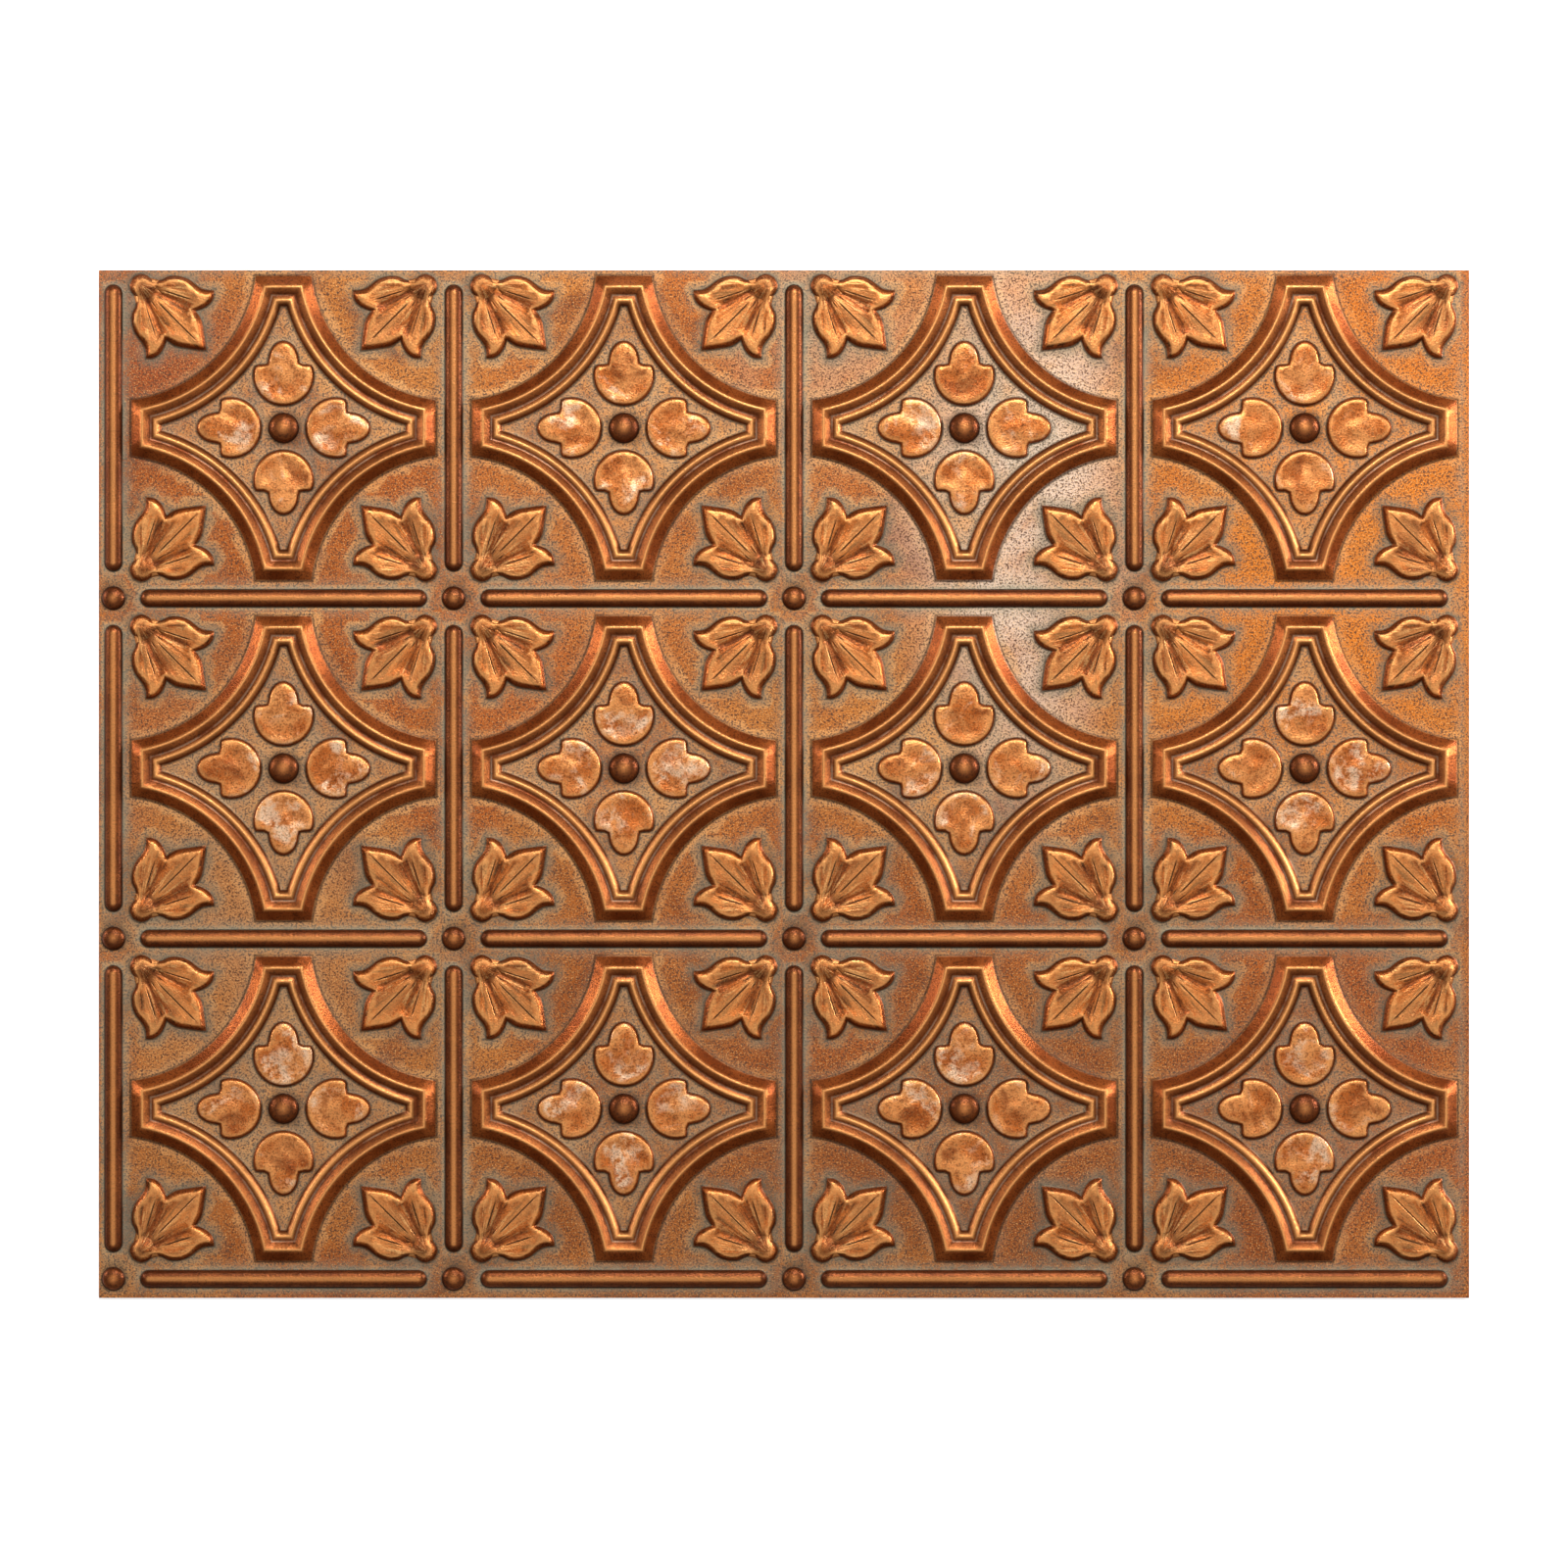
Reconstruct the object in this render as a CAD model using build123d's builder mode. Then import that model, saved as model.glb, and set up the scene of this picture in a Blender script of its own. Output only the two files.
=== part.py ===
from build123d import *
from math import atan2, degrees, hypot
import os

# Embossed PVC ceiling panel: one thin formed sheet with a pressed relief, in square tiles.
# Each tile has a four-pointed star moulding, a bead with four petals inside it, a leaf in
# each corner, and a rib and a bead on its left and lower borders.
# The sheet lies on its back, face up, with X along its length and Y along its width.
# The origin is the middle of the underside.

# Sheet
sheet_thickness = 0.7
columns = 4
rows = 3
tile_pitch = 151.4
left_margin = 6.5       # panel edge to the first border line
bottom_margin = 8.5
right_margin = 73.2     # last tile centre to the panel edge
top_margin = 70.2

# Star moulding: four arcs about the tile's corners, cut off by flat ends
star_end_gap = 7.5      # border line to a flat end
star_end_width = 25.6
outer_crest_inset = 5.6
outer_crest_height = 4.5
groove_inset = 9.3
groove_height = 1.9
inner_crest_inset = 11.7
inner_crest_height = 3.0
star_band_width = 14.4

# Petals about the centre bead: a round lobe and a stem that points outwards
petal_centre = 23.3
petal_gap = 0.6         # lobe to the foot of the star moulding
petal_shoulder = 28.4
petal_stem_width = 14.0
petal_stem_neck = 11.2  # stem's width halfway from the shoulder to the tip
petal_tip = 39.0
petal_height = 2.0
petal_slope = 1.8       # run of its side, in plan

# Leaves on the tile's diagonals, each with its root near the tile's corner
leaf_root_gap = 12.4    # tile corner to the leaf's root
leaf_tip_gap = 4.4      # leaf's tip to the star moulding
leaf_width = 43.2
leaf_height = 2.6
leaf_slope = 2.3

# Ribs along the border lines, and beads
rib_width = 7.6
rib_height = 2.8
rib_slope = 2.8
rib_end_gap = 12.0      # rib's end to the bead's centre on the next border line
centre_bead_radius = 6.7
centre_bead_height = 3.6
corner_bead_radius = 5.3
corner_bead_height = 3.0
bead_slope = 3.0

# The small round forms have flat sides
bead_sides = 8
lobe_sides = 11

half_pitch = tile_pitch / 2
panel_length = left_margin + (columns - 0.5) * tile_pitch + right_margin
panel_width = bottom_margin + (rows - 0.5) * tile_pitch + top_margin
star_reach = half_pitch - star_end_gap
star_arc_radius = hypot(star_end_gap, half_pitch - star_end_width / 2)
inner_foot_radius = star_arc_radius + star_band_width
petal_radius = hypot(half_pitch - petal_centre, half_pitch) - inner_foot_radius - petal_gap
leaf_length = star_arc_radius - leaf_tip_gap - leaf_root_gap
leaf_root_radius = hypot(half_pitch, half_pitch) - leaf_root_gap  # tile centre to a leaf's root
rib_length = tile_pitch - 2 * rib_end_gap

first_tile = (left_margin + half_pitch - panel_length / 2, bottom_margin + half_pitch - panel_width / 2)
tile_centres = [
    (first_tile[0] + column * tile_pitch, first_tile[1] + row * tile_pitch)
    for column in range(columns)
    for row in range(rows)
]
face = Plane.XY.offset(sheet_thickness)


def star_outline(inset, height):
    """The star moulding's outline, moved in from its foot, at a height above the field."""
    side = 2 * (star_reach - inset)
    with BuildSketch(face.offset(height)) as outline:
        Rectangle(side, side)
        with GridLocations(tile_pitch, tile_pitch, 2, 2):
            Circle(star_arc_radius + inset, mode=Mode.SUBTRACT)
    return outline.sketch


def slope(run, rise):
    """The taper in degrees of a slope that goes in by run while it goes up by rise."""
    return degrees(atan2(run, rise))


def embossing(outline, height, run):
    """An outline on the face raised to a height, with sides that go in by run."""
    with BuildPart() as relief:
        with BuildSketch(face):
            add(outline)
        extrude(amount=height)
        draft(relief.faces().filter_by(Plane.XY, reverse=True), face, slope(run, height))
    return relief.part


# Star moulding: an outer ridge, a groove and a lower inner ridge round a sunk middle
with BuildPart() as star:
    extrude(
        star_outline(0, 0),
        amount=outer_crest_height,
        taper=slope(outer_crest_inset, outer_crest_height),
    )
    extrude(
        star_outline(groove_inset, groove_height),
        amount=outer_crest_height - groove_height,
        taper=-slope(groove_inset - outer_crest_inset, outer_crest_height - groove_height),
        mode=Mode.SUBTRACT,
    )
    extrude(
        star_outline(groove_inset, groove_height),
        amount=inner_crest_height - groove_height,
        taper=slope(inner_crest_inset - groove_inset, inner_crest_height - groove_height),
    )
    extrude(
        star_outline(star_band_width, 0),
        amount=inner_crest_height,
        taper=-slope(star_band_width - inner_crest_inset, inner_crest_height),
        mode=Mode.SUBTRACT,
    )

# Petal that points along +X
with BuildSketch() as petal_outline:
    with Locations((petal_centre, 0)):
        RegularPolygon(petal_radius, lobe_sides)
    with Locations((petal_shoulder, 0)):
        Rectangle(petal_radius, 2 * petal_radius, align=(Align.MIN, Align.CENTER), mode=Mode.SUBTRACT)
    stem_side = petal_stem_width / 2
    stem_middle = (petal_shoulder + petal_tip) / 2
    Polygon(
        (petal_centre, -stem_side),
        (petal_shoulder, -stem_side),
        (stem_middle, -petal_stem_neck / 2),
        (petal_tip, 0),
        (stem_middle, petal_stem_neck / 2),
        (petal_shoulder, stem_side),
        (petal_centre, stem_side),
        align=None,
    )
petal = embossing(petal_outline.sketch, petal_height, petal_slope)

# Leaf that points along +X, its root at the origin, as shares of its length and half width
leaf_side = [
    (0.00, 0.15),
    (0.14, 0.26),
    (0.24, 0.56),
    (0.35, 0.76),
    (0.55, 0.86),
    (0.635, 1.00),
    (0.70, 0.73),
    (0.66, 0.42),
    (0.76, 0.38),
]
right_side = [(leaf_length * along, -leaf_width / 2 * across) for along, across in leaf_side]
left_side = [(x, -y) for x, y in reversed(right_side)]
with BuildSketch() as leaf_outline:
    Polygon(*right_side, (leaf_length, 0), *left_side, align=None)
leaf = embossing(leaf_outline.sketch, leaf_height, leaf_slope)

with BuildSketch() as rib_outline:
    Rectangle(rib_length, rib_width)
rib = embossing(rib_outline.sketch, rib_height, rib_slope)

with BuildSketch() as centre_bead_outline:
    RegularPolygon(centre_bead_radius, bead_sides)
centre_bead = embossing(centre_bead_outline.sketch, centre_bead_height, bead_slope)

with BuildSketch() as corner_bead_outline:
    RegularPolygon(corner_bead_radius, bead_sides)
corner_bead = embossing(corner_bead_outline.sketch, corner_bead_height, bead_slope)

# Panel: the flat sheet, with each tile's relief standing on it
with BuildPart() as panel_sheet:
    with BuildSketch():
        Rectangle(panel_length, panel_width)
    extrude(amount=sheet_thickness)
    with Locations(*tile_centres):
        add(star.part)
        add(centre_bead)
        with PolarLocations(0, 4):
            add(petal)
        with PolarLocations(leaf_root_radius, 4, start_angle=45):
            add(leaf.rotate(Axis.Z, 180))
        with Locations((0, -half_pitch)):
            add(rib)
        with Locations(Location((-half_pitch, 0), 90)):
            add(rib)
        with Locations((-half_pitch, -half_pitch)):
            add(corner_bead)
panel_sheet.part.label = "panel_sheet"

os.makedirs("parts", exist_ok=True)
export_step(panel_sheet.part, "parts/panel_sheet.step")
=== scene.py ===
from math import atan2, ceil, cos, exp, hypot, pi, radians, sin, sqrt

import bpy
import numpy as np
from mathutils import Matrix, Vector
from mathutils.geometry import delaunay_2d_cdt


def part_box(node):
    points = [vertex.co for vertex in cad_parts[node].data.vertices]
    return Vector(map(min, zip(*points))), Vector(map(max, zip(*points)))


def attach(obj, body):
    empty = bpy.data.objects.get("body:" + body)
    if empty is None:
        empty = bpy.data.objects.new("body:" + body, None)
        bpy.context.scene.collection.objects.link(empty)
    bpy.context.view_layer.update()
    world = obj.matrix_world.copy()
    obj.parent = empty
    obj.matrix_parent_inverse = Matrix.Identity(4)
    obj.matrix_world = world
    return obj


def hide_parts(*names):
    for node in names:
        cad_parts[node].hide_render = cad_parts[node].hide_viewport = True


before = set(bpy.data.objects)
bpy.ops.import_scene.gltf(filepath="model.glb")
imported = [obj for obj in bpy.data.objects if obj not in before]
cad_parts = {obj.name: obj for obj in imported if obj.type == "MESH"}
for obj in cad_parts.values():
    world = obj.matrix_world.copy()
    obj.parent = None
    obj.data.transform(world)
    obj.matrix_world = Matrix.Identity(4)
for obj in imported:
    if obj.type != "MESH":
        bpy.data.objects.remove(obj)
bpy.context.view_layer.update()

# Embossed PVC ceiling panel, seen from straight above. One closed mesh is the formed sheet:
# its face and its hollow back are triangulated once for a single tile, along rings that
# follow each relief, and repeated over the panel. Plan sizes are in millimetres.
MM = 0.001

# Sheet and tiles
SHEET = 0.7
COLUMNS, ROWS = 4, 3
PITCH = 151.4
HALF = PITCH / 2
LEFT, BOTTOM = 6.5, 8.5       # panel edge to the first border line
CELL_SHIFT = 5.8              # the repeated cell starts this far outside its border lines
CELL_STEPS = 38               # points along each side of the cell

# Star moulding
STAR_END_GAP = 7.5
STAR_END_WIDTH = 25.6
STAR_REACH = HALF - STAR_END_GAP
STAR_RADIUS = hypot(STAR_END_GAP, HALF - STAR_END_WIDTH / 2)
STAR_BAND = 14.4

# Ribs and beads
RIB_HALF_WIDTH = 3.8
RIB_HEIGHT = 2.8
RIB_END_GAP = 12.0
CENTRE_BEAD = (6.7, 3.9)      # radius, height
CORNER_BEAD = (5.2, 3.1)
RIB_SHARES = (1.2, 1.0, 0.92, 0.72, 0.42, 0.14)     # rings, as shares of the half width
BEAD_SHARES = (1.08, 1.0, 0.93, 0.78, 0.55, 0.28)   # rings, as shares of the radius
RIB_SHARES_BACK = (1.0, 0.75, 0.3)
BEAD_SHARES_BACK = (1.0, 0.8, 0.45)
DOME = 1.03                   # share of the radius at which a round top would reach the ground

# Petals: distances from the tile's centre, along the petal
PETAL_CENTRE = 23.3
PETAL_RADIUS = 13.8
PETAL_SHOULDER = 28.4
PETAL_STEM = (29.5, 9.5, 7.0)  # middle, half length and half width of the stem's ellipse
PETAL_VALLEY = 19.2           # where the stem's ridge dies out in the lobe
PETAL_HEIGHT = 2.1
PETAL_DISH = 0.45
# The petal's side, from its foot inwards: inset, height above the field
PETAL_WALL = [(-0.7, 0.0), (0.0, 0.0), (0.5, 0.75), (1.1, 1.75), (1.7, PETAL_HEIGHT)]

# Leaves: distances from the tile's centre along its diagonal, and half widths
LEAF_HEIGHT = 2.6
LEAF_DISH = 0.75
LEAF_FAN = 91.0               # the veins fan out from here
BULB = (87.9, 4.6, 1.0)       # the round root: its middle, radius and rise above the leaf's rim
# One half of the outline from root to tip: foot (along, across), rim (along, across)
LEAF_HALF = [
    (95.0, 0.0, 91.6, 0.0),
    (93.6, 3.7, 90.9, 2.1),
    (90.4, 5.3, 88.9, 3.4),
    (87.2, 5.6, 86.2, 4.2),
    (84.9, 8.5, 83.3, 7.3),
    (83.9, 11.6, 82.0, 10.4),
    (81.5, 14.3, 79.9, 12.9),
    (78.4, 16.4, 77.4, 14.3),
    (75.3, 17.4, 74.6, 15.1),
    (72.2, 17.8, 71.4, 15.0),
    (69.4, 18.5, 68.2, 15.6),
    (67.0, 20.0, 66.3, 17.0),
    (65.2, 21.8, 65.0, 18.4),
    (62.8, 19.2, 64.3, 16.4),
    (62.0, 15.7, 64.6, 13.8),
    (62.7, 12.4, 65.5, 11.0),
    (64.2, 9.3, 66.8, 8.0),
    (62.2, 9.1, 64.2, 6.7),
    (59.8, 8.5, 61.0, 5.7),
    (57.4, 7.1, 58.4, 4.3),
    (54.6, 5.0, 56.2, 2.7),
    (51.4, 2.6, 54.0, 1.1),
    (48.2, 0.0, 52.8, 0.0),
]
LEAF_SHARP = (12, 16)         # side tip and notch
# The leaf's side: level between foot and rim, height above the field
LEAF_WALL = [(-0.2, 0.0), (0.0, 0.0), (0.3, 1.05), (0.7, 2.15), (1.0, LEAF_HEIGHT)]
LEAF_SPOKES = [0, 5, 11, 16, 19.5, 23, 28, 34, 41, 50]  # degrees from its middle line

# Star moulding's section, from its foot inwards: inset, height above the field
STAR_SECTION = [
    (-0.8, 0.0),
    (0.0, 0.0),
    (0.8, 0.62),
    (4.2, 3.45),
    (5.0, 4.25),
    (5.6, 4.50),
    (6.3, 4.28),
    (8.6, 2.25),
    (9.3, 1.92),
    (9.9, 2.05),
    (10.9, 2.80),
    (11.5, 3.00),
    (12.1, 2.80),
    (13.7, 0.75),
    (14.4, 0.0),
    (15.2, 0.0),
]
STAR_BACK = (0, 3, 5, 8, 11, 13, 15)  # the points of the section that the back follows

# The mask values that tell painted areas apart
BOWL = 0.2                    # the ground inside the star mouldings
MOULDING = 0.4
LEAF = 0.7
PETAL = 1.0

# The dull wash gathers beside each relief, within about these distances
PATINA_NEAR = 2.1
PATINA_FAR = 6.0
PATINA_GATHER = 0.09          # how fast it builds up where reliefs stand close together
PATINA_REACH = 25.0           # reliefs further off than this are left out

# The panel's box in metres, its corners and its tiles' centres in millimetres
box_low, box_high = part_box("panel_sheet")
PANEL_LOW = [v / MM for v in box_low]
PANEL_HIGH = [v / MM for v in box_high]
TILE_X = [PANEL_LOW[0] + LEFT + HALF + PITCH * i for i in range(COLUMNS)]
TILE_Y = [PANEL_LOW[1] + BOTTOM + HALF + PITCH * i for i in range(ROWS)]

# Paint colours as they look, 0 to 255
TAN = (196, 120, 54)
ORANGE = (180, 92, 32)
RUST = (134, 58, 18)
SAND = (236, 168, 100)
PALE_GRAIN = (238, 182, 114)
DARK_GRAIN = (92, 58, 42)
PATINA = (150, 146, 124)
WALL = (142, 66, 22)
WALL_WORN = (180, 94, 40)
# Dark for painted shade at the reliefs' feet, in creases and on round sides, with some dark wash, and for
# dark grains
SOOT_AND_SHADE = (48, 24, 12)
LEAF_TOP = (200, 104, 40)
LEAF_WORN = (152, 72, 26)
PETAL_TOP = (232, 150, 84)
PETAL_WORN = (196, 104, 42)
CHALK = (246, 208, 172)
# Bright for crests and rims: worn paint and painted highlight
CREST_WEAR_AND_HIGHLIGHT = (248, 172, 100)

# The leaf's veins, drawn dark as painted shade in their grooves: angle from its middle in degrees, and
# where each starts and ends in mm
VEINS = [(0.0, 11.0, 37.0), (10.0, 8.0, 15.0), (27.5, 10.0, 26.0)]
VEIN_CORE = 8.0               # half width in degrees times mm, solid within this
VEIN_EDGE = 26.0              # and gone past this

# Stains on the ground, a painted reflection and a darkening towards the bottom: middle and radii on the
# panel in metres, colour and strength
STAINS_AND_SHEEN = [
    ((0.240, 0.110), (0.130, 0.200), (226, 128, 36), 0.9),
    ((0.250, -0.150), (0.110, 0.120), (186, 92, 40), 0.7),
    ((0.080, -0.170), (0.110, 0.090), (150, 78, 38), 0.7),
    ((-0.270, 0.190), (0.075, 0.070), (164, 80, 38), 0.9),
    # A broad patch that makes the ground darker towards the bottom of the panel
    ((0.060, -0.170), (0.420, 0.190), (156, 82, 34), 0.75),
    ((-0.100, 0.080), (0.090, 0.120), (196, 108, 48), 0.5),
    ((-0.240, -0.060), (0.090, 0.160), (190, 134, 88), 0.6),
    # Two pale patches near the top of the third column: a painted reflection of a light
    ((0.100, 0.120), (0.060, 0.180), (234, 208, 184), 0.85),
    ((0.020, 0.200), (0.060, 0.080), (206, 162, 124), 0.6),
]
DRIFT = (0.09, 0.09, 0.0)     # how far noise pulls the patches out of round
HALF_GREY = (0.5, 0.5, 0.5)

# The photograph is 1600 pixels across, and the panel's left and right edges are at these
PHOTO_SIZE = 1600
PHOTO_LEFT, PHOTO_RIGHT = 100.0, 1500.0
PANEL_LENGTH = box_high[0] - box_low[0]
CAMERA_HEIGHT = 3.5

# The sky is dim at the sides and bright overhead: two heights, and the strength at each
SKY = (0.25, 0.95, 0.04, 0.68)

# Square lamps: name, place and target in metres, side and power
LAMPS = [
    ("key", (0.15, 1.05, 1.35), (0, 0.05, 0), 0.5, 18.5),
    ("low_right", (1.6, 0.50, 0.38), (0, 0, 0), 0.4, 25.0),
    ("low_left", (-1.4, 0.45, 0.34), (0, 0, 0), 0.4, 7.0),
]
FLOOR_SIZE = 40.0
FLOOR_DROP = 0.0004           # the floor is this far below the panel's back
FLOOR_GLOW = 0.55

# Copper paint: its shader's plain values
METALLIC = 0.7
SPECULAR = 0.3
ROUGH_GROUND = 0.50
ROUGH_DROP = 0.14             # the raised paint is smoother by this
BUMP_STRENGTH, BUMP_DEPTH = 0.6, 0.0003


def smoothstep(low, high, x):
    """0 below low, 1 above high and a smooth rise between."""
    t = np.clip((x - low) / (high - low), 0.0, 1.0)
    return t * t * (3 - 2 * t)


def peak(x, middle, width):
    """A smooth bump, 1 at its middle."""
    return exp(-(((x - middle) / width) ** 2))


def star_ring(inset, arc_steps, end_steps):
    """The star's outline moved in by inset, as (x, y) points in a fixed order."""
    radius = STAR_RADIUS + inset
    reach = STAR_REACH - inset
    half_width = HALF - sqrt(radius**2 - (HALF - reach) ** 2)
    start = atan2(half_width - HALF, reach - HALF)
    end = atan2(reach - HALF, half_width - HALF)
    if start > end:
        end += 2 * pi
    if end - start > pi:
        end -= 2 * pi
    quarter = []
    for i in range(arc_steps + 1):
        angle = start + (end - start) * i / arc_steps
        quarter.append((HALF + radius * cos(angle), HALF + radius * sin(angle)))
    for i in range(1, end_steps):
        quarter.append((half_width * (1 - 2 * i / end_steps), reach))
    ring = []
    for _ in range(4):
        ring += quarter
        quarter = [(-y, x) for x, y in quarter]
    return ring


def circle_ring(centre, radius, steps):
    """Points on a circle."""
    turn = [2 * pi * i / steps for i in range(steps)]
    return [(centre[0] + radius * cos(a), centre[1] + radius * sin(a)) for a in turn]


def rib_ring(length, radius, steps, cap_steps):
    """A long ring round a rib on the X axis: straight sides and round ends."""
    run = length / 2 - RIB_HALF_WIDTH
    side = [(-run + 2 * run * i / steps, -radius) for i in range(steps + 1)]
    cap = [-pi / 2 + pi * i / cap_steps for i in range(1, cap_steps)]
    half = side + [(run + radius * cos(a), radius * sin(a)) for a in cap]
    return half + [(-x, -y) for x, y in half]


def petal_foot(spacing):
    """The petal's outline at its foot, pointing along +X, evenly spaced."""
    lobe = sqrt(PETAL_RADIUS**2 - (PETAL_SHOULDER - PETAL_CENTRE) ** 2)
    middle, length, width = PETAL_STEM
    points = []
    for i in range(40):
        angle = pi / 2 * (1 - i / 40) * 0.97
        points.append((middle + length * cos(angle), width * sin(angle)))
    stem = points[::-1]
    shoulder = [(PETAL_SHOULDER, width + 0.3), (PETAL_SHOULDER, lobe - 0.4)]
    start = atan2(lobe, PETAL_SHOULDER - PETAL_CENTRE) + 0.13
    arc = [start + (pi - start) * i / 40 for i in range(41)]
    rim = [(PETAL_CENTRE + PETAL_RADIUS * cos(a), PETAL_RADIUS * sin(a)) for a in arc]
    upper = stem + shoulder + rim
    line = upper + [(x, -y) for x, y in reversed(upper[1:-1])]
    dense = resample(line, 0.25)
    return resample(soften(dense, 4), spacing)


def resample(line, spacing):
    """A closed line with its points evenly spaced."""
    points = np.array(line + [line[0]])
    steps = np.hypot(*np.diff(points, axis=0).T)
    along = np.concatenate([[0], np.cumsum(steps)])
    count = int(ceil(along[-1] / spacing))
    at = np.arange(count) * along[-1] / count
    return list(zip(np.interp(at, along, points[:, 0]), np.interp(at, along, points[:, 1])))


def soften(line, passes):
    """A closed line with its corners rounded a little."""
    points = np.array(line)
    for _ in range(passes):
        points = (np.roll(points, 1, axis=0) + 2 * points + np.roll(points, -1, axis=0)) / 4
    return [tuple(p) for p in points]


def moved_in(line, distance):
    """A closed line with each point moved to its left, which is inwards on a turn to the left."""
    points = np.array(line)
    along = np.roll(points, -1, axis=0) - np.roll(points, 1, axis=0)
    along /= np.hypot(along[:, 0], along[:, 1])[:, None]
    normal = np.stack([-along[:, 1], along[:, 0]], axis=1)
    return [tuple(p) for p in points + distance * normal]


def curve_through(points, sharp, steps):
    """A smooth line through the points, with corners at the sharp ones."""
    points = [np.array(p) for p in points]
    last = len(points) - 1
    line = []
    for i in range(last):
        a, b = points[i], points[i + 1]
        before = points[i - 1] if i > 0 and i not in sharp else a
        after = points[i + 2] if i + 2 <= last and i + 1 not in sharp else b
        leave = (b - before) / (1 if i == 0 or i in sharp else 2)
        arrive = (after - a) / (1 if i + 1 == last or i + 1 in sharp else 2)
        for k in range(steps):
            t = k / steps
            line.append(
                (2 * t**3 - 3 * t**2 + 1) * a
                + (t**3 - 2 * t**2 + t) * leave
                + (3 * t**2 - 2 * t**3) * b
                + (t**3 - t**2) * arrive
            )
    line.append(points[last])
    return line


def leaf_rings(levels, steps):
    """The leaf's rings between its foot, level 0, and its rim, level 1, pointing along +X."""
    half = curve_through(LEAF_HALF, LEAF_SHARP, steps)
    rings = []
    for level in levels:
        side = [(p[0] + (p[2] - p[0]) * level, p[1] + (p[3] - p[1]) * level) for p in half]
        rings.append(side + [(x, -y) for x, y in reversed(side[1:-1])])
    return rings


def distance_to(line, points):
    """How far each point is from a closed line."""
    a = np.array(line)
    b = np.roll(a, -1, axis=0)
    edge = b - a
    best = np.full(len(points), 1e9)
    for start, run in zip(a, edge):
        along = np.clip(((points - start) @ run) / max(run @ run, 1e-12), 0, 1)
        gap = points - start - along[:, None] * run
        best = np.minimum(best, np.hypot(gap[:, 0], gap[:, 1]))
    return best


def inside(line, points):
    """Whether each point is inside a closed line."""
    a = np.array(line)
    b = np.roll(a, -1, axis=0)
    count = np.zeros(len(points), dtype=int)
    for (ax, ay), (bx, by) in zip(a, b):
        if ay == by:
            continue
        crosses = (ay > points[:, 1]) != (by > points[:, 1])
        x = ax + (points[:, 1] - ay) * (bx - ax) / (by - ay)
        count += crosses & (points[:, 0] < x)
    return count % 2 == 1


def grid(low, high, spacing, row_step=None):
    """A triangular grid of points over a rectangle, with evenly sided triangles if no row step."""
    rows = []
    for j, y in enumerate(np.arange(low[1], high[1], row_step or spacing * 0.87)):
        xs = np.arange(low[0] + (j % 2) * spacing / 2, high[0], spacing)
        rows.append(np.stack([xs, np.full(len(xs), y)], axis=1))
    return np.concatenate(rows)


def turned(points, angle):
    """Points turned about the origin."""
    points = np.array(points)
    c, s = cos(angle), sin(angle)
    return np.stack([points[:, 0] * c - points[:, 1] * s, points[:, 0] * s + points[:, 1] * c], axis=1)


class Cell:
    """The points, heights, masks and ring edges of one tile."""

    MASKS = ("height", "wash", "crest", "area", "groove", "fan", "reach")

    def __init__(self):
        self.points = []
        self.values = []
        self.edges = []
        self.outlines = []

    def add(self, points, height, area=0.0, wash=0.0, crest=0.0, groove=0.0, fan=0.0, reach=0.0):
        """Loose points, with a height and masks that are numbers or one for each point."""
        start = len(self.points)
        masks = (height, wash, crest, area, groove, fan, reach)
        columns = [np.broadcast_to(np.asarray(v, dtype=float), len(points)) for v in masks]
        self.points += [tuple(p) for p in points]
        self.values += [tuple(v) for v in zip(*columns)]
        return start

    def ring(self, points, height, area=0.0, **masks):
        """A closed ring of points."""
        start = self.add(points, height, area, **masks)
        count = len(points)
        self.edges += [(start + i, start + (i + 1) % count) for i in range(count)]

    def outline(self, line, wash):
        """A relief's foot, and how much of the dull wash gathers beside it."""
        self.outlines.append((np.array(line), wash))

    def triangles(self):
        """The cell's vertices, values and faces."""
        coordinates = [Vector(p) for p in self.points]
        verts, _, faces, origin, _, _ = delaunay_2d_cdt(coordinates, self.edges, [], 0, 1e-5, True)
        nothing = (0.0,) * len(self.MASKS)
        values = [self.values[o[0]] if o else nothing for o in origin]
        return np.array([tuple(v) for v in verts]), np.array(values), [tuple(f) for f in faces]


def add_star(cell, fine):
    """The double-ridged moulding."""
    arc_steps, end_steps = (20, 4) if fine else (12, 2)
    section = STAR_SECTION if fine else [STAR_SECTION[i] for i in STAR_BACK]
    for inset, height in section:
        ring = star_ring(inset, arc_steps, end_steps)
        # Bright crest lines are worn paint and painted highlight; the dark at the foot, beside the groove
        # and at the inner foot is painted shade in the creases, with some dark wash
        crest = peak(inset, 5.6, 0.55) + 1.1 * peak(inset, 11.5, 0.8)
        wash = max(peak(inset, 0.2, 0.5), 0.6 * peak(inset, 8.8, 0.7), 0.5 * peak(inset, 9.9, 0.4))
        wash = max(wash, 0.8 * peak(inset, 13.9, 0.7))
        cell.ring(ring, height, MOULDING, wash=wash, crest=crest, groove=peak(inset, 9.3, 0.3))
    cell.outline(star_ring(0.0, 22, 4), 0.25)
    cell.outline(star_ring(STAR_BAND, 22, 4), 0.55)


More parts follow.
